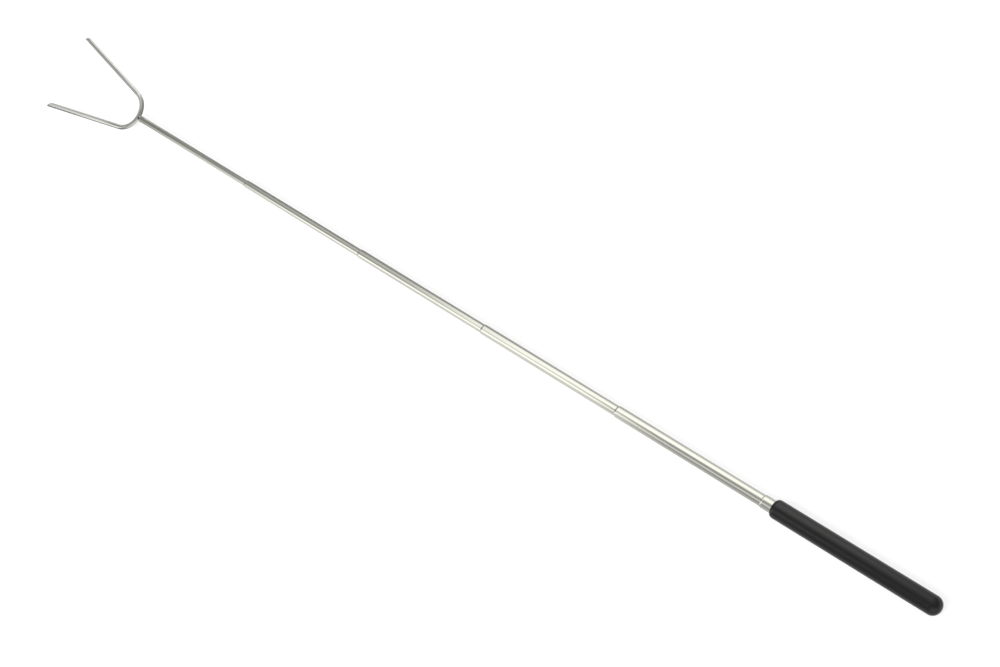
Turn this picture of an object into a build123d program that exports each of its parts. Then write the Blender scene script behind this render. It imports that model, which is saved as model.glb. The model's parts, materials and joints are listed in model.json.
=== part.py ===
"""Telescopic marshmallow roasting fork: a rubber grip, six nested tubes and a two-pronged wire fork.

The stick lies along X, grip at -X and fork at +X, fully pulled out. The fork is in the XY plane.
The origin is on the axis, in the middle of the grip. Lengths are in millimetres.
"""

from build123d import *
import os
from math import cos, radians, sin

os.makedirs("parts", exist_ok=True)

# Tubes: number 1 is the thickest and is fixed in the grip, number 6 carries the fork
TUBE_COUNT = 6
SECTION_PITCH = 118.5  # from one tube's front lip to the next, fully pulled out
THINNEST_DIAMETER = 4.65
DIAMETER_STEP = 0.87
TUBE_WALL = 0.26

# Front end of tubes 1 to 5, rolled in around the next tube
LIP_LENGTH = 3.0  # from the front edge back to the full bore
LIP_NECK = 2.0  # the straight guiding part of the lip
LIP_CLEARANCE = 0.04
LIP_EDGE = 0.12
SHOULDER_LENGTH = 1.3
SHOULDER_BEND = 4.0

# Bush in the rear of each sliding tube, shaped like a cotton reel
BUSH_INSERT = 2.0
FLANGE_LENGTH = 0.7
REEL_LENGTH = 3.2  # the neck between the two flanges
NECK_DEPTH = 0.65  # from a flange's rim down to the neck
BUSH_BORE_SHARE = 0.45  # of the neck's radius
PRESS_GAP = 0.01
STOP_GAP = 0.06
RUNNING_CLEARANCE = 0.03

# Split friction sleeve on each reel
SLEEVE_WALL = 0.2
SLEEVE_BULGE = 0.12
SLEEVE_END_GAP = 0.1
SLEEVE_SLOT = 1.0

# Grip
GRIP_LENGTH = 123.0
GRIP_RADIUS = 6.45
GRIP_NOSE_LENGTH = 2.8
GRIP_NOSE_LAND = 0.3
GRIP_BUTT_ROUND = 6.0
STUB_LENGTH = 8.3  # the part of tube 1 in front of the grip
TUBE_1_LENGTH = 124.3
BUTT_PLUG_INSERT = 3.5
BUTT_PLUG_FLANGE = 1.2

# Fork wire
WIRE_RADIUS = 1.8
BEND_RADIUS = 15.0
PRONG_ANGLE = 11.8  # of each prong away from the fork's centre line
PRONG_LENGTH = 74.2  # straight part, to the middle of the slanted cut
CUT_ANGLE = 45.0
CUT_SPARE = 4.0
FORK_SKEW = 1.1  # the fork is welded on slightly askew, towards -Y
FORK_SHIFT = 0.45  # and slightly off the axis, towards -Y
BASE_OFFSET = 3.4  # from the end of tube 6 to the wire's centre line

# Plug and weld at the end of tube 6
TIP_PLUG_INSERT = 7.0
TIP_NECK_RADIUS = 1.4
WELD_FOOT_RADIUS = 1.9
WELD_CROWN_RADIUS = 2.05
WELD_START_ANGLE = 110.0  # about the axis, from +Y
WELD_ARC = 140.0

GRIP_FRONT = GRIP_LENGTH / 2
LIP_1 = GRIP_FRONT + STUB_LENGTH
SLIDING_TUBES = range(2, TUBE_COUNT + 1)


def tube_radius(number):
    """Outer radius of a tube."""
    return (THINNEST_DIAMETER + (TUBE_COUNT - number) * DIAMETER_STEP) / 2


def bore_radius(number):
    """Inner radius of a tube."""
    return tube_radius(number) - TUBE_WALL


def lip_x(number):
    """Place of a tube's front edge."""
    return LIP_1 + (number - 1) * SECTION_PITCH


def rear_x(number):
    """Place of a tube's rear edge."""
    if number == 1:
        return LIP_1 - TUBE_1_LENGTH
    return lip_x(number - 1) - LIP_LENGTH - STOP_GAP


def write(piece, name):
    """Label a piece and write its file."""
    piece.part.label = name
    export_step(piece.part, f"parts/{name}.step")


def lipped_tube(number):
    """Tube whose front end is rolled in to guide the next, thinner tube."""
    front, rear = lip_x(number), rear_x(number)
    outer, bore = tube_radius(number), bore_radius(number)
    lip_bore = tube_radius(number + 1) + LIP_CLEARANCE
    with BuildPart() as tube:
        with BuildSketch(Plane.XZ) as section:
            with BuildLine():
                Polyline(
                    (rear, bore),
                    (rear, outer),
                    (front - SHOULDER_LENGTH, outer),
                    (front, lip_bore + TUBE_WALL),
                    (front, lip_bore),
                    (front - LIP_NECK, lip_bore),
                    (front - LIP_LENGTH, bore),
                    close=True,
                )
            make_face()
            rim = section.vertices().group_by(Axis.X)[-1]
            fillet(rim, LIP_EDGE)
            shoulder = section.vertices().filter_by(
                lambda corner: abs(corner.X - front + SHOULDER_LENGTH) < LIP_EDGE
            )
            fillet(shoulder, SHOULDER_BEND)
        revolve(axis=Axis.X)
    return tube


def plain_tube(number):
    """Tube with plain, slightly rounded ends."""
    with BuildPart() as tube:
        with BuildSketch(Plane.XZ):
            with BuildLine():
                Polyline(
                    (rear_x(number), bore_radius(number)),
                    (rear_x(number), tube_radius(number)),
                    (lip_x(number), tube_radius(number)),
                    (lip_x(number), bore_radius(number)),
                    close=True,
                )
            make_face()
        revolve(axis=Axis.X)
        rim = tube.edges().filter_by(GeomType.CIRCLE).group_by(Axis.X)[-1]
        fillet(rim, LIP_EDGE)
    return tube


def bush(number):
    """Reel pressed into a tube's rear end. Its front flange stops against the outer tube's lip."""
    rear = rear_x(number)
    flange = bore_radius(number - 1) - RUNNING_CLEARANCE
    neck = flange - NECK_DEPTH
    plug = bore_radius(number) - PRESS_GAP
    reel_front = rear - FLANGE_LENGTH
    reel_rear = reel_front - REEL_LENGTH
    with BuildPart() as reel:
        with BuildSketch(Plane.XZ):
            with BuildLine():
                Polyline(
                    (rear + BUSH_INSERT, 0),
                    (rear + BUSH_INSERT, plug),
                    (rear, plug),
                    (rear, flange),
                    (reel_front, flange),
                    (reel_front, neck),
                    (reel_rear, neck),
                    (reel_rear, flange),
                    (reel_rear - FLANGE_LENGTH, flange),
                    (reel_rear - FLANGE_LENGTH, 0),
                    close=True,
                )
            make_face()
        revolve(axis=Axis.X)
        with Locations(Location((rear, 0, 0), (0, 90, 0))):
            Hole(neck * BUSH_BORE_SHARE)
    return reel


def friction_sleeve(number):
    """Split sleeve that bulges out against the bore it slides in."""
    crown = bore_radius(number - 1) - RUNNING_CLEARANCE
    front = rear_x(number) - FLANGE_LENGTH - SLEEVE_END_GAP
    rear = front - REEL_LENGTH + 2 * SLEEVE_END_GAP
    middle = (front + rear) / 2
    end = crown - SLEEVE_BULGE
    with BuildPart() as sleeve:
        with BuildSketch(Plane.XZ):
            with BuildLine():
                ThreePointArc((rear, end), (middle, crown), (front, end))
                Line((front, end), (front, end - SLEEVE_WALL))
                ThreePointArc(
                    (front, end - SLEEVE_WALL),
                    (middle, crown - SLEEVE_WALL),
                    (rear, end - SLEEVE_WALL),
                )
                Line((rear, end - SLEEVE_WALL), (rear, end))
            make_face()
        revolve(axis=Axis.X)
        with Locations((middle, crown, 0)):
            Box(REEL_LENGTH, crown, SLEEVE_SLOT, mode=Mode.SUBTRACT)
    return sleeve


def fork_point(ahead, across):
    """A point in the fork's plane, measured from the middle of its bend."""
    skew = radians(FORK_SKEW)
    base = lip_x(TUBE_COUNT) + BASE_OFFSET
    x = base + ahead * cos(skew) + across * sin(skew)
    y = across * cos(skew) - ahead * sin(skew) - FORK_SHIFT
    return Vector(x, y, 0)


def prong_direction(side):
    """Unit vector along a prong, away from the grip. Side is 1 for +Y or -1 for -Y."""
    angle = radians(side * PRONG_ANGLE - FORK_SKEW)
    return Vector(cos(angle), sin(angle), 0)


def prong_root(side):
    """Where a prong's straight part leaves the bend."""
    turn = radians(90 - PRONG_ANGLE)
    return fork_point(BEND_RADIUS * (1 - cos(turn)), side * BEND_RADIUS * sin(turn))


# Grip: a closed rubber sleeve with a domed butt and a nose that rounds down to tube 1
with BuildPart() as grip:
    grip_bore = tube_radius(1) + PRESS_GAP
    nose_foot = grip_bore + GRIP_NOSE_LAND
    with BuildSketch(Plane.XZ) as grip_section:
        with BuildLine():
            EllipticalCenterArc(
                (GRIP_FRONT - GRIP_NOSE_LENGTH, nose_foot),
                GRIP_NOSE_LENGTH,
                GRIP_RADIUS - nose_foot,
            )
            Polyline(
                (GRIP_FRONT - GRIP_NOSE_LENGTH, GRIP_RADIUS),
                (-GRIP_FRONT, GRIP_RADIUS),
                (-GRIP_FRONT, 0),
                (rear_x(1) - BUTT_PLUG_FLANGE, 0),
                (rear_x(1) - BUTT_PLUG_FLANGE, grip_bore),
                (GRIP_FRONT, grip_bore),
                (GRIP_FRONT, nose_foot),
            )
        make_face()
        butt_corner = grip_section.vertices().sort_by(Axis.X)[:2].sort_by(Axis.Y)[-1]
        fillet(butt_corner, GRIP_BUTT_ROUND)
    revolve(axis=Axis.X)
write(grip, "grip")

# Butt plug: a stepped disc that closes the rear of tube 1
with BuildPart() as butt_plug:
    with BuildSketch(Plane.YZ.offset(rear_x(1))):
        Circle(bore_radius(1) - PRESS_GAP)
    extrude(amount=BUTT_PLUG_INSERT)
    with BuildSketch(Plane.YZ.offset(rear_x(1))):
        Circle(tube_radius(1))
    extrude(amount=-(BUTT_PLUG_FLANGE - PRESS_GAP))
write(butt_plug, "butt_plug")

# Tubes
for tube_number in range(1, TUBE_COUNT):
    write(lipped_tube(tube_number), f"tube_{tube_number}")
write(plain_tube(TUBE_COUNT), f"tube_{TUBE_COUNT}")

# Reels and friction sleeves of the sliding tubes
for tube_number in SLIDING_TUBES:
    write(bush(tube_number), f"bush_{tube_number}")
    write(friction_sleeve(tube_number), f"spring_{tube_number}")

# Fork wire: two straight prongs and the bend that joins them
with BuildPart() as fork_wire:
    with BuildLine() as wire_path:
        tip_a, tip_b = (
            prong_root(side) + prong_direction(side) * (PRONG_LENGTH + CUT_SPARE)
            for side in (-1, 1)
        )
        Line(tip_a, prong_root(-1))
        ThreePointArc(prong_root(-1), fork_point(0, 0), prong_root(1))
        Line(prong_root(1), tip_b)
    with BuildSketch(Plane(origin=tip_a, z_dir=prong_direction(-1))):
        Circle(WIRE_RADIUS)
    sweep(path=wire_path.line)
    # One shear cuts both ends, so the long edge is on the +Y side of each prong
    for side in (-1, 1):
        cut_centre = prong_root(side) + prong_direction(side) * PRONG_LENGTH
        cut_normal = prong_direction(side).rotate(Axis.Z, -CUT_ANGLE)
        with Locations(Plane(origin=cut_centre, z_dir=cut_normal).location):
            Box(
                4 * CUT_SPARE,
                4 * CUT_SPARE,
                2 * CUT_SPARE,
                align=(Align.CENTER, Align.CENTER, Align.MIN),
                mode=Mode.SUBTRACT,
            )
write(fork_wire, "fork_wire")

# Tip plug: fills the end of tube 6 and ends in a saddle under the wire
with BuildPart() as tip_plug:
    with BuildSketch(Plane.YZ.offset(lip_x(TUBE_COUNT) - TIP_PLUG_INSERT)):
        Circle(bore_radius(TUBE_COUNT) - PRESS_GAP)
    extrude(amount=TIP_PLUG_INSERT)
    with BuildSketch(Plane.YZ.offset(lip_x(TUBE_COUNT))):
        Circle(TIP_NECK_RADIUS)
    extrude(amount=BASE_OFFSET)
    add(fork_wire.part, mode=Mode.SUBTRACT)
write(tip_plug, "tip_plug")

# Weld: a bead round one side of the neck, from the end of tube 6 to the wire
with BuildPart() as fork_weld:
    with BuildSketch(Plane.XY.rotated((WELD_START_ANGLE, 0, 0))):
        with BuildLine():
            Polyline(
                (lip_x(TUBE_COUNT) + BASE_OFFSET, WELD_FOOT_RADIUS),
                (lip_x(TUBE_COUNT) + BASE_OFFSET, TIP_NECK_RADIUS),
                (lip_x(TUBE_COUNT), TIP_NECK_RADIUS),
                (lip_x(TUBE_COUNT), WELD_FOOT_RADIUS),
            )
            ThreePointArc(
                (lip_x(TUBE_COUNT), WELD_FOOT_RADIUS),
                (lip_x(TUBE_COUNT) + BASE_OFFSET / 2, WELD_CROWN_RADIUS),
                (lip_x(TUBE_COUNT) + BASE_OFFSET, WELD_FOOT_RADIUS),
            )
        make_face()
    revolve(axis=Axis.X, revolution_arc=WELD_ARC)
    add(fork_wire.part, mode=Mode.SUBTRACT)
write(fork_weld, "fork_weld")
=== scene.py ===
"""Looks of the telescopic marshmallow roasting fork, built around its CAD frame.

Metres, in the CAD's frame: the stick lies along X with the grip at -X, and the fork is in the XY plane.
"""

import json
from math import cos, pi, radians, sin, sqrt, tan

import bpy
from mathutils import Matrix, Vector


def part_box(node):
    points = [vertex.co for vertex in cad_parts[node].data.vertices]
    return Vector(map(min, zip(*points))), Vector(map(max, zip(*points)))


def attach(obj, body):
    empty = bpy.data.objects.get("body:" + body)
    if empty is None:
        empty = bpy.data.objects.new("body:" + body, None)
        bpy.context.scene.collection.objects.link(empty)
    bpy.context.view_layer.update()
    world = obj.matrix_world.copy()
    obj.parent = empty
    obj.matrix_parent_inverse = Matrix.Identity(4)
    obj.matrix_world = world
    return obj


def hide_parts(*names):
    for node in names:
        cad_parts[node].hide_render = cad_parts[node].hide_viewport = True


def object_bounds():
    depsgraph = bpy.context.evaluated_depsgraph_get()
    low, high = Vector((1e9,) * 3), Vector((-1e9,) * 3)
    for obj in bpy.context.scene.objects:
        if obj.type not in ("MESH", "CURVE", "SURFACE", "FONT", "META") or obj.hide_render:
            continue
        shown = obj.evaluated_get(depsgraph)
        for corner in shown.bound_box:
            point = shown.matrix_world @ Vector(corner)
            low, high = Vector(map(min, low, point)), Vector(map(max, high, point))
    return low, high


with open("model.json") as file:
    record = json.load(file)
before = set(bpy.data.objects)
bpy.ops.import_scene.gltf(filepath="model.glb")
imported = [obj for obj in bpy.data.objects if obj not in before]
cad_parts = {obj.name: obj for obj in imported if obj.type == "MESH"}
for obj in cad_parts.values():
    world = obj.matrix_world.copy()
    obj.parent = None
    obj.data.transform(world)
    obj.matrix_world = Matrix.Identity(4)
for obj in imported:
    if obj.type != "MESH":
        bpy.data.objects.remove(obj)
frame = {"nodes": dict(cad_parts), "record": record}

CAD_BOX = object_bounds()
MM = 0.001

# Sizes that the frame's boxes don't give
TUBE_WALL = 0.26 * MM
TUBE_REAR_CHAMFER = 0.05 * MM
LIP_CLEARANCE = 0.04 * MM
LIP_NECK = 2.0 * MM
LIP_LENGTH = 3.0 * MM
SHOULDER_LENGTH = 1.3 * MM
GRIP_BORE_CLEARANCE = 0.01 * MM
GRIP_NOSE_LENGTH = 2.8 * MM
GRIP_NOSE_LAND = 0.3 * MM
GRIP_BUTT_ROUND = 6.0 * MM
BEND_RADIUS = 15.0 * MM
PRONG_LENGTH = 74.2 * MM
PRONG_ANGLE = radians(11.8)
FORK_SKEW = radians(1.1)  # the fork is welded on slightly askew, towards -Y
FORK_SHIFT = 0.45 * MM  # and slightly off the axis, towards -Y
CUT_ANGLE = radians(45)
CUT_EDGE = 0.22 * MM
CUT_DISH = 0.03 * MM
CUT_ROOM = 3  # plain rings stop this many wire radii before the slanted cut

# The weld bead: an arc round the neck on its -Y side
WELD_START = radians(105)
WELD_SWEEP = radians(150)
WELD_RING_RADIUS = 1.62 * MM
WELD_CENTRE = 0.95 * MM  # in front of the tube's end
WELD_HALF_WIDTH = 0.92 * MM
WELD_HALF_HEIGHT = 0.42 * MM
WELD_END_WIDTH = 0.35  # share of the width that is left at the bead's ends

# Facets
ROUND_STEPS = 144
SHOULDER_STEPS = 12
LIP_STEPS = 12
RIM_STEPS = 14
BUTT_STEPS = 28
NOSE_STEPS = 24
WIRE_STEPS = 48
BEND_STEPS = 96
PRONG_STEPS = 24
CUT_EDGE_STEPS = 6
WELD_STEPS = 40
WELD_ROUND_STEPS = 20

TEXTURE_LENGTH = 10 * MM  # of wire for one unit of its lengthwise coordinate
TUBES = range(1, 7)
BODY_OF = {node: body for body, nodes in frame["record"]["behaviour"]["bodies"].items() for node in nodes}
SLOT_OF = {row["node"]: row["material_slot"] for row in frame["record"]["subparts"]}


# ---------------------------------------------------------------- materials

class Nodes:
    """Short calls for building one node tree."""

    # Sockets of a Mix node, which has its own for each type of data
    FACTOR, VALUE_A, VALUE_B, VALUE_RESULT = 0, 2, 3, 0
    COLOUR_A, COLOUR_B, COLOUR_RESULT = 6, 7, 2

    def __init__(self, tree):
        self.tree = tree

    def add(self, kind, **values):
        """A node with its properties and inputs set by name."""
        node = self.tree.nodes.new(kind)
        for key, value in values.items():
            if hasattr(node, key):
                setattr(node, key, value)
            else:
                node.inputs[key.replace("_", " ")].default_value = value
        return node

    def link(self, output, socket):
        self.tree.links.new(output, socket)

    def feed(self, value, socket):
        """Give a socket its value, a number or another node's output."""
        if isinstance(value, (int, float)):
            socket.default_value = value
        else:
            self.link(value, socket)

    def math(self, operation, *values):
        """One operation on one or two values."""
        node = self.add("ShaderNodeMath", operation=operation)
        for value, socket in zip(values, node.inputs):
            self.feed(value, socket)
        return node.outputs[0]

    def split(self, vector):
        """The x, y and z of a vector."""
        node = self.add("ShaderNodeSeparateXYZ")
        self.link(vector, node.inputs[0])
        return node.outputs

    def spread(self, value, low, high, to_low, to_high, smooth=False):
        """value from low..high mapped to to_low..to_high, held at the ends."""
        node = self.add("ShaderNodeMapRange", clamp=True)
        node.interpolation_type = "SMOOTHSTEP" if smooth else "LINEAR"
        self.link(value, node.inputs["Value"])
        for name, number in (("From Min", low), ("From Max", high), ("To Min", to_low), ("To Max", to_high)):
            node.inputs[name].default_value = number
        return node.outputs["Result"]

    def vary(self, noise, to_low=0, to_high=1):
        """A noise's usual range mapped to to_low..to_high."""
        return self.spread(noise, 0.3, 0.7, to_low, to_high)

    def noise(self, vector, scale, detail=2.0, roughness=0.5):
        node = self.add("ShaderNodeTexNoise", Scale=scale, Detail=detail, Roughness=roughness)
        self.link(vector, node.inputs["Vector"])
        return node.outputs["Fac"]

    def streaks(self, vector, scales, detail, roughness):
        """Noise with its own scale along each axis."""
        node = self.add("ShaderNodeMapping")
        node.inputs["Scale"].default_value = scales
        self.link(vector, node.inputs["Vector"])
        return self.noise(node.outputs["Vector"], 1.0, detail, roughness)

    def blend(self, factor, a, b):
        """Colour mix of two colours, by factor."""
        node = self.add("ShaderNodeMix", data_type="RGBA")
        self.link(factor, node.inputs[self.FACTOR])
        node.inputs[self.COLOUR_A].default_value = (*a, 1)
        node.inputs[self.COLOUR_B].default_value = (*b, 1)
        return node.outputs[self.COLOUR_RESULT]

    def choose(self, factor, a, b):
        """Value mix of two values, by factor."""
        node = self.add("ShaderNodeMix", data_type="FLOAT")
        for value, index in ((factor, self.FACTOR), (a, self.VALUE_A), (b, self.VALUE_B)):
            self.feed(value, node.inputs[index])
        return node.outputs[self.VALUE_RESULT]

    def bump(self, height, strength, distance):
        node = self.add("ShaderNodeBump", Strength=strength, Distance=distance)
        self.link(height, node.inputs["Height"])
        return node.outputs["Normal"]


def new_material(name):
    """(material, its Nodes, its Principled shader, its texture coordinates)."""
    material = bpy.data.materials.new(name)
    material.use_nodes = True
    nodes = Nodes(material.node_tree)
    shader = material.node_tree.nodes["Principled BSDF"]
    coordinates = nodes.add("ShaderNodeTexCoord")
    return material, nodes, shader, coordinates


def dress(nodes, shader, colour, roughness, normal, metallic=0):
    """Link a material's colour, roughness and bump, and set its metallic value."""
    shader.inputs["Metallic"].default_value = metallic
    nodes.link(colour, shader.inputs["Base Color"])
    nodes.link(roughness, shader.inputs["Roughness"])
    nodes.link(normal, shader.inputs["Normal"])


def tube_steel():
    """Drawn and polished stainless: fine lines along the tube, faint smudges and rub marks."""
    material, n, shader, coordinates = new_material("polished_steel")
    place = coordinates.outputs["Object"]
    lines = n.streaks(place, (9, 2600, 2600), detail=3.0, roughness=0.6)
    smudges = n.streaks(place, (28, 90, 90), detail=4.0, roughness=0.6)
    rubs = n.streaks(place, (60, 900, 900), detail=5.0, roughness=0.7)
    colour = n.blend(n.vary(smudges), (0.635, 0.637, 0.582), (0.67, 0.67, 0.615))
    polish = n.math("ADD", n.vary(lines, 0.07, 0.115), n.spread(smudges, 0.4, 0.75, 0, 0.035))
    roughness = n.math("ADD", polish, n.spread(rubs, 0.62, 0.8, 0, 0.08))
    dress(n, shader, colour, roughness, n.bump(lines, 0.12, 0.02 * MM), metallic=1)
    return material


def wire_steel():
    """Drawn stainless wire: lines along its length, a little duller than the tubes."""
    material, n, shader, coordinates = new_material("wire_steel")
    lines = n.streaks(coordinates.outputs["UV"], (14, 22, 1), detail=4.0, roughness=0.65)
    smudges = n.noise(coordinates.outputs["Object"], scale=130, detail=4.0, roughness=0.6)
    colour = n.blend(n.vary(smudges), (0.62, 0.615, 0.59), (0.67, 0.665, 0.64))
    roughness = n.math("ADD", n.vary(lines, 0.13, 0.2), n.spread(smudges, 0.45, 0.75, 0, 0.07))
    dress(n, shader, colour, roughness, n.bump(lines, 0.2, 0.03 * MM), metallic=1)
    return material


def weld_steel():
    """Resolidified weld metal: ripples, and a faint straw tint from the heat."""
    material, n, shader, coordinates = new_material("weld_steel")
    place = coordinates.outputs["Object"]
    ripples = n.streaks(place, (2600, 1300, 1300), detail=2.0, roughness=0.5)
    grain = n.noise(place, scale=3800, detail=3.0, roughness=0.6)
    colour = n.blend(n.spread(ripples, 0.35, 0.7, 0, 1), (0.62, 0.6, 0.55), (0.72, 0.715, 0.7))
    dress(n, shader, colour, n.vary(grain, 0.2, 0.36), n.bump(ripples, 0.5, 0.08 * MM), metallic=1)
    return material


def painted_crevice_shade():
    """Near-black mottled steel with a little bare metal showing: painted shade of the dark crevice where the
    wire meets the tube's end.
    """
    material, n, shader, coordinates = new_material("painted_crevice_shade")
    soot = n.noise(coordinates.outputs["Object"], scale=1900, detail=4.0, roughness=0.6)
    colour = n.blend(n.spread(soot, 0.35, 0.75, 0, 1), (0.035, 0.03, 0.026), (0.16, 0.125, 0.085))
    dress(n, shader, colour, n.vary(soot, 0.42, 0.6), n.bump(soot, 0.3, 0.03 * MM), metallic=1)
    return material


def grip_rubber():
    """Matt black rubber: fine moulded grain, slight bloom and scuffs."""
    material, n, shader, coordinates = new_material("grip_rubber")
    place = coordinates.outputs["Object"]
    grain = n.noise(place, scale=5200, detail=3.0, roughness=0.6)
    bloom = n.streaks(place, (45, 130, 130), detail=5.0, roughness=0.6)
    scuffs = n.streaks(place, (160, 900, 900), detail=4.0, roughness=0.7)
    tint = n.math("ADD", n.vary(bloom, 0, 0.7), n.spread(scuffs, 0.6, 0.78, 0, 0.3))
    colour = n.blend(tint, (0.0018, 0.0018, 0.002), (0.0032, 0.0032, 0.0031))
    roughness = n.math("ADD", n.vary(bloom, 0.17, 0.22), n.spread(scuffs, 0.55, 0.8, 0, 0.08))
    dress(n, shader, colour, roughness, n.bump(grain, 0.12, 0.04 * MM))
    return material


def turned_metal(name, dark, light, roughness):
    """Metal turned on a lathe: fine rings round the axis."""
    material, n, shader, coordinates = new_material(name)
    place = coordinates.outputs["Object"]
    rings = n.streaks(place, (5200, 60, 60), detail=3.0, roughness=0.6)
    stain = n.noise(place, scale=420, detail=4.0, roughness=0.6)
    colour = n.blend(n.vary(stain), dark, light)
    dull = n.vary(rings, roughness, roughness + 0.14)
    dress(n, shader, colour, dull, n.bump(rings, 0.3, 0.03 * MM), metallic=1)
    return material


def plug_plastic():
    """Moulded nylon plug."""
    material, n, shader, coordinates = new_material("plug_plastic")
    grain = n.noise(coordinates.outputs["Object"], scale=2600, detail=3.0, roughness=0.6)
    colour = n.blend(grain, (0.03, 0.03, 0.032), (0.05, 0.05, 0.05))
    dress(n, shader, colour, n.vary(grain, 0.4, 0.55), n.bump(grain, 0.2, 0.05 * MM))
    return material


# ---------------------------------------------------------------- mesh building

def make_object(name, vertices, faces, uvs=None, sharp=40):
    """A smooth-shaded mesh object. Edges over sharp degrees stay crisp, and uvs holds one pair per corner."""
    mesh = bpy.data.meshes.new(name)
    mesh.from_pydata(vertices, [], faces)
    if uvs:
        layer = mesh.uv_layers.new(name="along")
        for loop, pair in zip(layer.data, uvs):
            loop.uv = pair
    mesh.validate()
    mesh.shade_smooth()
    mesh.set_sharp_from_angle(angle=radians(sharp))
    return link_mesh(name, mesh)


def link_mesh(name, mesh):
    """An object in the scene that holds the mesh."""
    piece = bpy.data.objects.new(name, mesh)
    bpy.context.scene.collection.objects.link(piece)
    return piece


def turned(name, outline, closed=False, sharp=40):
    """Solid of revolution about X. The outline is (x, radius) points, from an axis point to an axis point,
    or a closed ring of points for a hollow piece."""
    vertices, rings = [], []
    for x, radius in outline:
        if radius == 0:
            rings.append([len(vertices)] * ROUND_STEPS)
            vertices.append((x, 0, 0))
            continue
        rings.append(list(range(len(vertices), len(vertices) + ROUND_STEPS)))
        for step in range(ROUND_STEPS):
            turn = 2 * pi * step / ROUND_STEPS
            vertices.append((x, radius * cos(turn), radius * sin(turn)))
    pairs = list(zip(rings, rings[1:] + rings[:1])) if closed else list(zip(rings, rings[1:]))
    faces = []
    for near, far in pairs:
        for step in range(ROUND_STEPS):
            after = (step + 1) % ROUND_STEPS
            corners = (near[step], near[after], far[after], far[step])
            faces.append(tuple(dict.fromkeys(corners)))
    return make_object(name, vertices, faces, sharp=sharp)


def arc(centre, radii, start, end, steps):
    """Points on an ellipse, from start to end degrees."""
    turns = (radians(start + (end - start) * step / steps) for step in range(steps + 1))
    return [(centre[0] + radii[0] * cos(turn), centre[1] + radii[1] * sin(turn)) for turn in turns]


def finish_piece(piece, node):
    """Material, body, replaced node and slot of a piece that stands for one CAD node."""
    piece.data.materials.append(MATERIALS[SLOT_OF[node]])
    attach(piece, BODY_OF[node])
    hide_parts(node)


# ---------------------------------------------------------------- pieces

def node_radius(node):
    low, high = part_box(node)
    return (high.z - low.z) / 2


def rear_end(x, bore, outer):
    """Outline of a tube's plain rear end, with its outer edge broken."""
    return [(x, bore), (x, outer - TUBE_REAR_CHAMFER), (x + TUBE_REAR_CHAMFER, outer)]


def lipped_tube(number):
    """A tube whose front end is rolled in: a smooth shoulder, then a round nose as thick as the wall."""
    node = f"tube_{number}"
    low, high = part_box(node)
    front, outer = high.x, node_radius(node)
    bore = outer - TUBE_WALL
    lip_bore = node_radius(f"tube_{number + 1}") + LIP_CLEARANCE
    nose = TUBE_WALL / 2
    shoulder_drop = outer - (lip_bore + TUBE_WALL)
    outline = rear_end(low.x, bore, outer)
    for step in range(SHOULDER_STEPS + 1):
        share = step / SHOULDER_STEPS
        x = front - SHOULDER_LENGTH + share * (SHOULDER_LENGTH - nose)
        outline.append((x, outer - shoulder_drop * share * share))
    outline += arc((front - nose, lip_bore + nose), (nose, nose), 80, -90, LIP_STEPS)
    outline += [(front - LIP_NECK, lip_bore), (front - LIP_LENGTH, bore)]
    return turned(f"tube_{number}_shell", outline, closed=True)


def end_tube():
    """The thinnest tube: plain, with softened rims."""
    low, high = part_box("tube_6")
    outer = node_radius("tube_6")
    bore = outer - TUBE_WALL
    nose = TUBE_WALL / 2
    outline = rear_end(low.x, bore, outer)
    outline += arc((high.x - nose, bore + nose), (nose, nose), 90, -90, RIM_STEPS)
    return turned("tube_6_shell", outline, closed=True)


def grip_sleeve():
    """Rubber sleeve: domed butt, straight barrel, rounded nose that meets tube 1."""
    low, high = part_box("grip")
    outer = node_radius("grip")
    mouth = node_radius("tube_1") + GRIP_BORE_CLEARANCE
    land = mouth + GRIP_NOSE_LAND
    floor_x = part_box("butt_plug")[0].x
    dome_centre = (low.x + GRIP_BUTT_ROUND, outer - GRIP_BUTT_ROUND)
    nose_centre = (high.x - GRIP_NOSE_LENGTH, land)
    outline = [(low.x, 0)]
    outline += arc(dome_centre, (GRIP_BUTT_ROUND, GRIP_BUTT_ROUND), 180, 90, BUTT_STEPS)
    outline += arc(nose_centre, (GRIP_NOSE_LENGTH, outer - land), 90, 0, NOSE_STEPS)
    outline += [(high.x, mouth), (floor_x, mouth), (floor_x, 0)]
    return turned("grip_sleeve", outline, sharp=50)


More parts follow.
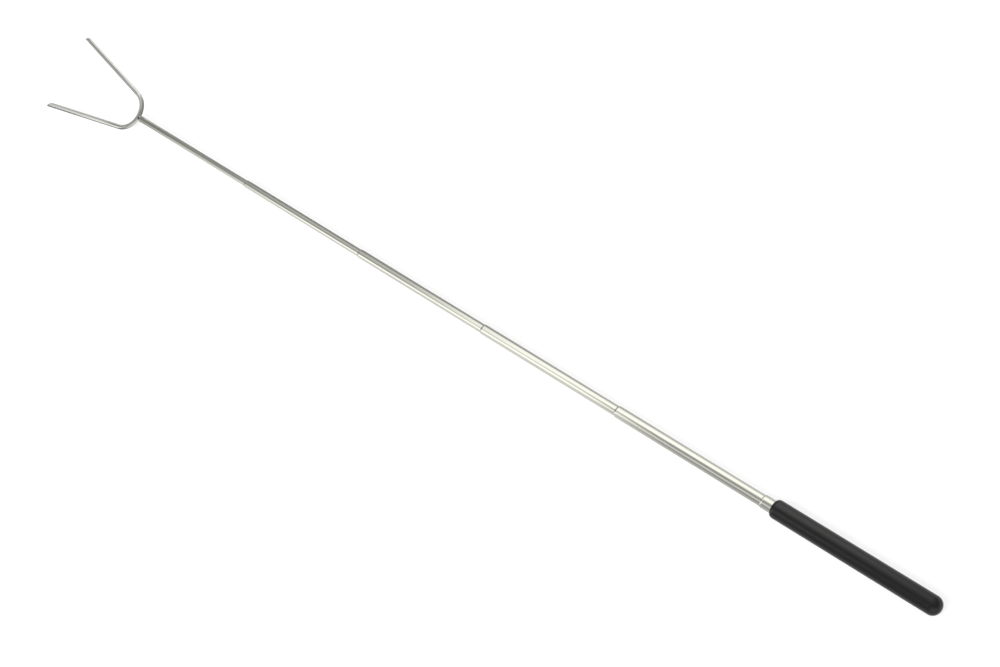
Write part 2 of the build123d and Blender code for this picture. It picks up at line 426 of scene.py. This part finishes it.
def wire_fork():
    """One round wire: two straight prongs and a bend, both ends cut by the same slanted shear."""
    radius = node_radius("fork_wire")
    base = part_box("fork_wire")[0].x + radius
    bend_turn = pi / 2 - PRONG_ANGLE
    arc_length = BEND_RADIUS * bend_turn
    bend_centre = Vector((base + BEND_RADIUS, 0, 0))
    root = Vector((base + BEND_RADIUS * (1 - cos(bend_turn)), BEND_RADIUS * sin(bend_turn), 0))
    along = Vector((cos(PRONG_ANGLE), sin(PRONG_ANGLE), 0))
    side = Vector((-sin(PRONG_ANGLE), cos(PRONG_ANGLE), 0))
    mirrored = Vector((1, -1, 1))

    stations = []  # (place, unit normal on the outer side, distance along the wire)
    for step in range(BEND_STEPS + 1):
        turn = bend_turn * (2 * step / BEND_STEPS - 1)
        outward = Vector((-cos(turn), sin(turn), 0))
        stations.append((bend_centre + outward * BEND_RADIUS, outward, BEND_RADIUS * turn))
    for step in range(1, PRONG_STEPS + 1):
        reach = (PRONG_LENGTH - CUT_ROOM * radius) * step / PRONG_STEPS
        stations.append((root + along * reach, side, arc_length + reach))
        stations.insert(0, ((root + along * reach) * mirrored, side * mirrored, -arc_length - reach))

    vertices, rings, lengths = [], [], []

    def ring(centre, outward, distance, ring_radius, slope, ahead):
        """A ring of points. slope tilts it along the wire, ahead is the unit vector along the wire."""
        rings.append(list(range(len(vertices), len(vertices) + WIRE_STEPS)))
        lengths.append(distance)
        for step in range(WIRE_STEPS):
            turn = 2 * pi * step / WIRE_STEPS
            across = ring_radius * cos(turn)
            point = centre + outward * across + ahead * (across * slope)
            vertices.append((point.x, point.y, ring_radius * sin(turn)))

    def cut_end(direction):
        """Rings that round the edge of the slanted cut and close it. direction is 1 at +Y, -1 at -Y."""
        mirror = Vector((1, direction, 1))
        ahead = along * mirror
        outward = side * mirror
        centre = root * mirror + ahead * PRONG_LENGTH
        slope = direction * tan(CUT_ANGLE)
        end = []
        for step in range(CUT_EDGE_STEPS + 1):
            turn = pi / 2 * step / CUT_EDGE_STEPS
            inset = CUT_EDGE * (1 - cos(turn))
            back = CUT_EDGE * (1 - sin(turn))
            distance = direction * (arc_length + PRONG_LENGTH - back)
            end.append((centre - ahead * back, outward, distance, radius - inset, slope, ahead))
        for share in (0.75, 0.5, 0.25):
            dish = CUT_DISH * (1 - share)
            distance = direction * (arc_length + PRONG_LENGTH)
            end.append((centre - ahead * dish, outward, distance, (radius - CUT_EDGE) * share, slope, ahead))
        return end

    for row in reversed(cut_end(-1)):
        ring(*row)
    for place, outward, distance in stations:
        ring(place, outward, distance, radius, 0, Vector((0, 0, 0)))
    for row in cut_end(1):
        ring(*row)

    faces, uvs = [], []
    for index, (near, far) in enumerate(zip(rings, rings[1:])):
        u0, u1 = lengths[index] / TEXTURE_LENGTH, lengths[index + 1] / TEXTURE_LENGTH
        for step in range(WIRE_STEPS):
            after = (step + 1) % WIRE_STEPS
            faces.append((near[step], near[after], far[after], far[step]))
            v0, v1 = step / WIRE_STEPS, (step + 1) / WIRE_STEPS
            uvs += [(u0, v0), (u0, v1), (u1, v1), (u1, v0)]
    faces += [tuple(reversed(rings[0])), tuple(rings[-1])]
    uvs += [(0, 0)] * (2 * WIRE_STEPS)

    askew = Matrix.Rotation(-FORK_SKEW, 4, "Z")
    placed = Matrix.Translation((base, -FORK_SHIFT, 0)) @ askew @ Matrix.Translation((-base, 0, 0))
    vertices = [tuple(placed @ Vector(place)) for place in vertices]
    return make_object("fork_prongs", vertices, faces, uvs, sharp=50)


def weld_bead():
    """Weld metal laid round one side of the neck: a fat ring segment with ripples and tapered ends."""
    tube_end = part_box("tube_6")[1].x
    vertices, faces = [], []
    for i in range(WELD_STEPS + 1):
        share = i / WELD_STEPS
        turn = WELD_START + WELD_SWEEP * share
        taper = sqrt(max(0.0, 1 - (2 * share - 1) ** 4))
        half_width = WELD_HALF_WIDTH * (WELD_END_WIDTH + (1 - WELD_END_WIDTH) * taper)
        # Two waves out of step make the ripples uneven
        ripple = 1 + 0.05 * sin(share * 34) + 0.03 * sin(share * 71 + 1)
        for j in range(WELD_ROUND_STEPS):
            angle = 2 * pi * j / WELD_ROUND_STEPS
            x = tube_end + WELD_CENTRE + half_width * cos(angle)
            radial = WELD_RING_RADIUS + WELD_HALF_HEIGHT * sin(angle) * taper * ripple
            vertices.append((x, radial * cos(turn), radial * sin(turn)))
    for i in range(WELD_STEPS):
        near, far = i * WELD_ROUND_STEPS, (i + 1) * WELD_ROUND_STEPS
        for j in range(WELD_ROUND_STEPS):
            k = (j + 1) % WELD_ROUND_STEPS
            faces.append((near + j, far + j, far + k, near + k))
    last = WELD_STEPS * WELD_ROUND_STEPS
    faces.append(tuple(range(WELD_ROUND_STEPS)))
    faces.append(tuple(reversed(range(last, last + WELD_ROUND_STEPS))))
    return make_object("weld_bead", vertices, faces, sharp=60)


MATERIALS = {
    "polished_steel": tube_steel(),
    "wire_steel": wire_steel(),
    "weld_steel": weld_steel(),
    "grip_rubber": grip_rubber(),
    "brass": turned_metal("brass", (0.62, 0.43, 0.17), (0.78, 0.58, 0.27), 0.22),
    "spring_bronze": turned_metal("spring_bronze", (0.5, 0.27, 0.14), (0.66, 0.4, 0.22), 0.28),
    "plug_plastic": plug_plastic(),
}

finish_piece(grip_sleeve(), "grip")
for tube_number in TUBES:
    finish_piece(end_tube() if tube_number == TUBES[-1] else lipped_tube(tube_number), f"tube_{tube_number}")
finish_piece(wire_fork(), "fork_wire")
finish_piece(weld_bead(), "fork_weld")

# The hidden pieces keep their CAD meshes. The plug in the last tube's end shows as the neck, near-black with
# painted shade of the crevice at the weld
for node, piece in frame["nodes"].items():
    if piece.hide_render or not piece.data:
        continue
    piece.data.materials.clear()
    piece.data.materials.append(painted_crevice_shade() if node == "tip_plug" else MATERIALS[SLOT_OF[node]])


# ---------------------------------------------------------------- studio

FLOOR_GAP = 0.2 * MM
FLOOR_HALF = 6.0
FLOOR_GLOW = 0.68

# Grey cards on the floor, which only polish sees. Beside the stick, each has two places along X and the
# brightness at them: one card is on the side towards -Y (behind), the other towards +Y (in front)
CARD_BEHIND_REACH = (0.10, 0.50)
CARD_BEHIND = (0.74, 0.26)
CARD_FRONT_REACH = (0.15, 0.22)
CARD_FRONT = (0.66, 0.92)
CARD_SEAM = 0.003
CARD_FADE = 0.01

# Round the fork there are three brightnesses, from -Y to +Y, that fade into each other over these places
FORK_CARD = (1.2, 0.55, 0.3)
FORK_CARD_BEHIND = (-0.03, -0.012)
FORK_CARD_FRONT = (0.005, 0.025)
FORK_START = 0.685
BEND_START = 0.662
BEND_OFF_AXIS = (0.006, 0.009)

# Cards near the fork: lowest corner, highest corner, brightness towards -Y and towards +Y
CARD_ABOVE_FORK = ((0.725, -0.06, 0.04), (0.86, 0.036, 0.04), (0.4, 1.05))
CARD_BESIDE_FORK = ((0.785, 0.12, 0), (1.1, 0.12, 0.065), (0.3, 0.3))
CARD_SPLIT = (0, 0.008)

LIGHT_TARGET = (0.3, 0, 0)
LIGHT_SIZE = 1.6

# Angles, in degrees, are as the stick sees them: round X from overhead towards +Y, and away from +X
WORLD_GREY = 0.37
WORLD_SIDE = 0.95  # towards +Y, beyond the thicker tubes' dark zone
WORLD_SIDE_REACH = (-4, 66)
WORLD_AHEAD_REACH = (42, 48)  # nearer to +X than this, the grey is dimmer
WORLD_AHEAD_DIMMING = 0.6
DARK_ZONE = (63.7, 100, 0.35, 25)  # low, high and the softness of each, away from +X
DARK_ZONE_GREY = 0.42
GLOW_AHEAD = (12, 24, 0.55)  # full up to the first angle from +X, none beyond the second, and its strength
STRIP_PIVOT = 60  # slanted strips turn about this angle from +X

CAMERA_TARGET = (0.2937, -0.0034, 0)
CAMERA_DISTANCE = 1.4165
CAMERA_HEADING = radians(4.66)
CAMERA_DIVE = radians(59.89)
CAMERA_ROLL = radians(-63.918)
CAMERA_LENS = 75.53


def surface_of(material):
    return material.node_tree.nodes["Material Output"].inputs["Surface"]


def floor_cards(n, place):
    """Brightness of the grey cards at a place on the floor."""
    x, y, _ = n.split(place)
    behind = n.spread(x, *CARD_BEHIND_REACH, *CARD_BEHIND)
    front = n.spread(x, *CARD_FRONT_REACH, *CARD_FRONT, smooth=True)
    beside_stick = n.choose(n.spread(y, -CARD_SEAM, CARD_SEAM, 0, 1), behind, front)
    fork_front = n.spread(y, *FORK_CARD_FRONT, *FORK_CARD[1:])
    under_fork = n.choose(n.spread(y, *FORK_CARD_BEHIND, 0, 1), FORK_CARD[0], fork_front)
    off_axis = n.spread(n.math("ABSOLUTE", y), *BEND_OFF_AXIS, 0, 1)
    near_bend = n.math("MULTIPLY", off_axis, n.spread(x, BEND_START, BEND_START + CARD_FADE, 0, 1))
    near_fork = n.math("MAXIMUM", near_bend, n.spread(x, FORK_START, FORK_START + CARD_FADE, 0, 1))
    return n.choose(near_fork, beside_stick, under_fork)


def studio_floor():
    """Plain pale sweep just under the fork, with the grey cards on it."""
    low, high = CAD_BOX
    z = low[2] - FLOOR_GAP
    middle = (low[0] + high[0]) / 2
    outline = ((-1, -1), (1, -1), (1, 1), (-1, 1))
    mesh = bpy.data.meshes.new("studio_floor")
    mesh.from_pydata([(middle + x * FLOOR_HALF, y * FLOOR_HALF, z) for x, y in outline], [], [(0, 1, 2, 3)])
    piece = link_mesh("studio_floor", mesh)

    material, n, shader, coordinates = new_material("studio_floor")
    place = coordinates.outputs["Object"]
    speckle = n.noise(place, scale=60, detail=3.0)
    n.link(n.blend(speckle, (0.3, 0.3, 0.3), (0.32, 0.32, 0.32)), shader.inputs["Base Color"])
    shader.inputs["Emission Color"].default_value = (1, 1, 1, 1)
    shader.inputs["Emission Strength"].default_value = FLOOR_GLOW
    shader.inputs["Roughness"].default_value = 0.7
    shader.inputs["Specular IOR Level"].default_value = 0.1

    card = n.add("ShaderNodeEmission")
    n.link(floor_cards(n, place), card.inputs["Strength"])
    swap = n.add("ShaderNodeMixShader")
    n.link(n.add("ShaderNodeLightPath").outputs["Is Glossy Ray"], swap.inputs[0])
    n.link(shader.outputs[0], swap.inputs[1])
    n.link(card.outputs[0], swap.inputs[2])
    n.link(swap.outputs[0], surface_of(material))
    piece.data.materials.append(material)


def polish_card(name, low, high, brightness):
    """A card that only polished surfaces see. Its brightness is (towards -Y, towards +Y)."""
    mesh = bpy.data.meshes.new(name)
    corners = [low, (high[0], low[1], low[2]), high, (low[0], high[1], high[2])]
    mesh.from_pydata(corners, [], [(0, 1, 2, 3)])
    piece = link_mesh(name, mesh)
    material, n, shader, coordinates = new_material(name)
    _, y, _ = n.split(coordinates.outputs["Object"])
    card = n.add("ShaderNodeEmission")
    n.link(n.spread(y, *CARD_SPLIT, *brightness), card.inputs["Strength"])
    n.link(card.outputs[0], surface_of(material))
    piece.data.materials.append(material)
    piece.visible_camera = piece.visible_diffuse = piece.visible_shadow = piece.visible_transmission = False


def area_light(name, place, power):
    """A large soft light that reflections leave out."""
    data = bpy.data.lights.new(name, "AREA")
    data.shape = "RECTANGLE"
    data.size = data.size_y = LIGHT_SIZE
    data.energy = power
    lamp = bpy.data.objects.new(name, data)
    lamp.location = place
    lamp.rotation_euler = (Vector(LIGHT_TARGET) - Vector(place)).to_track_quat("-Z", "Y").to_euler()
    lamp.visible_glossy = False
    bpy.context.scene.collection.objects.link(lamp)


def studio_world():
    """Soft grey surroundings with strip lights, which give the polish its bands."""
    world = bpy.data.worlds.new("studio_world")
    world.use_nodes = True
    n = Nodes(world.node_tree)
    background = world.node_tree.nodes["Background"]
    x, y, z = n.split(n.add("ShaderNodeTexCoord").outputs["Generated"])
    around = n.math("MULTIPLY", n.math("ARCTAN2", y, z), 180 / pi)
    polar = n.math("MULTIPLY", n.math("ARCCOSINE", x), 180 / pi)

    def window(value, low, high, soft_low, soft_high):
        """1 between low and high, 0 outside, with soft edges."""
        rise = n.spread(value, low - soft_low, low + soft_low, 0, 1, smooth=True)
        fall = n.spread(value, high - soft_high, high + soft_high, 1, 0, smooth=True)
        return n.math("MULTIPLY", rise, fall)

    def slanted(slope):
        """The angle round the stick, shifted by slope degrees for each degree away from +X."""
        return n.math("ADD", around, n.math("MULTIPLY", n.math("SUBTRACT", polar, STRIP_PIVOT), slope))

    side = n.spread(around, *WORLD_SIDE_REACH, WORLD_GREY, WORLD_SIDE, smooth=True)
    side = n.math("MULTIPLY", side, n.spread(polar, *WORLD_AHEAD_REACH, WORLD_AHEAD_DIMMING, 1, smooth=True))
    zone = window(polar, *DARK_ZONE)
    total = n.math("ADD", n.math("MULTIPLY", side, n.math("SUBTRACT", 1, zone)),
                   n.math("MULTIPLY", zone, DARK_ZONE_GREY))
    # Angle round the stick, its window (low, high, softness of each), window of the angle from +X, strength
    strips = (
        (around, (-68, -14, 14, 10), (51.8, 110, 1.0, 30), 0.27),
        (slanted(3.8), (-79, 2, 12, 8), (58.0, 73.6, 2.4, 1.5), 0.90),
        (around, (-8, 30, 8, 10), (59.0, 63.8, 1.4, 0.35), 0.50),
        (slanted(1.2), (21, 57, 9, 9), (52.2, 63.8, 1.8, 0.35), 0.86),
        (around, (-90, -30, 10, 10), (20, 41, 5, 3), 0.7),
        (slanted(2.5), (43, 66, 7, 7), (64.1, 71.2, 0.6, 1.2), 0.55),
    )
    for angle, across, reach, strength in strips:
        light = n.math("MULTIPLY", window(angle, *across), window(polar, *reach))
        total = n.math("ADD", total, n.math("MULTIPLY", light, strength))
    total = n.math("ADD", total, n.spread(polar, *GLOW_AHEAD, 0, smooth=True))
    n.link(n.blend(n.spread(total, 0.4, 1.4, 0, 1), (1, 1, 1), (1, 0.995, 0.965)), background.inputs["Color"])
    # Seen directly, beyond the floor's edge, the surroundings are plain white
    seen = n.add("ShaderNodeLightPath").outputs["Is Camera Ray"]
    n.link(n.choose(seen, total, 1.0), background.inputs["Strength"])
    bpy.context.scene.world = world


def camera():
    """Long lens, above and behind the grip, looking along the stick."""
    data = bpy.data.cameras.new("camera")
    data.sensor_width = 36
    data.lens = CAMERA_LENS
    data.clip_start, data.clip_end = 0.01, 50
    data.dof.use_dof = False
    lens = bpy.data.objects.new("camera", data)
    level = cos(CAMERA_DIVE)
    look = Vector((level * cos(CAMERA_HEADING), level * sin(CAMERA_HEADING), -sin(CAMERA_DIVE)))
    turn = look.to_track_quat("-Z", "Y").to_matrix() @ Matrix.Rotation(CAMERA_ROLL, 3, "Z")
    lens.matrix_world = Matrix.Translation(Vector(CAMERA_TARGET) - look * CAMERA_DISTANCE) @ turn.to_4x4()
    bpy.context.scene.collection.objects.link(lens)
    bpy.context.scene.camera = lens


studio_floor()
polish_card("fork_card_above", *CARD_ABOVE_FORK)
polish_card("fork_card_beside", *CARD_BESIDE_FORK)
studio_world()
area_light("key", (0.6, 1.4, 2.2), 62)
area_light("fill", (0.0, -1.6, 1.8), 34)
camera()
bpy.context.scene.view_settings.view_transform = "Standard"
